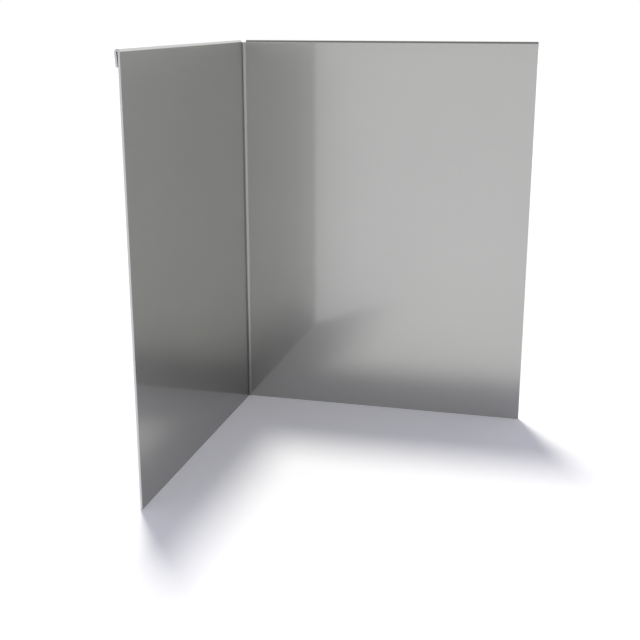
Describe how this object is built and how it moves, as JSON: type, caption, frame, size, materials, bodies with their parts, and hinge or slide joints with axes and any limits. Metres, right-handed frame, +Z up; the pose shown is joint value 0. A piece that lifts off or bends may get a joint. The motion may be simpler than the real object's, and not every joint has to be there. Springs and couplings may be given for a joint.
{
  "type": "roof edge corner trim",
  "caption": "Right-angled corner trim for a roof edge, folded from bare sheet metal, with a teardrop hem along the top turned to the outside and a relief notch at the corner.",
  "frame": {"origin": "bottom centre of the outer box, at floor level", "axes": "+Z up along the corner bend; one leg runs from the corner along +X, the other along -Y, and the hems stand out towards +Y and -X"},
  "size_m": [0.1958, 0.1958, 0.25],
  "materials": {
    "sheet_metal": "bare galvanised sheet, satin, cold grey"
  },
  "bodies": {
    "root": {"corner_trim": "sheet_metal"}
  },
  "joints": []
}
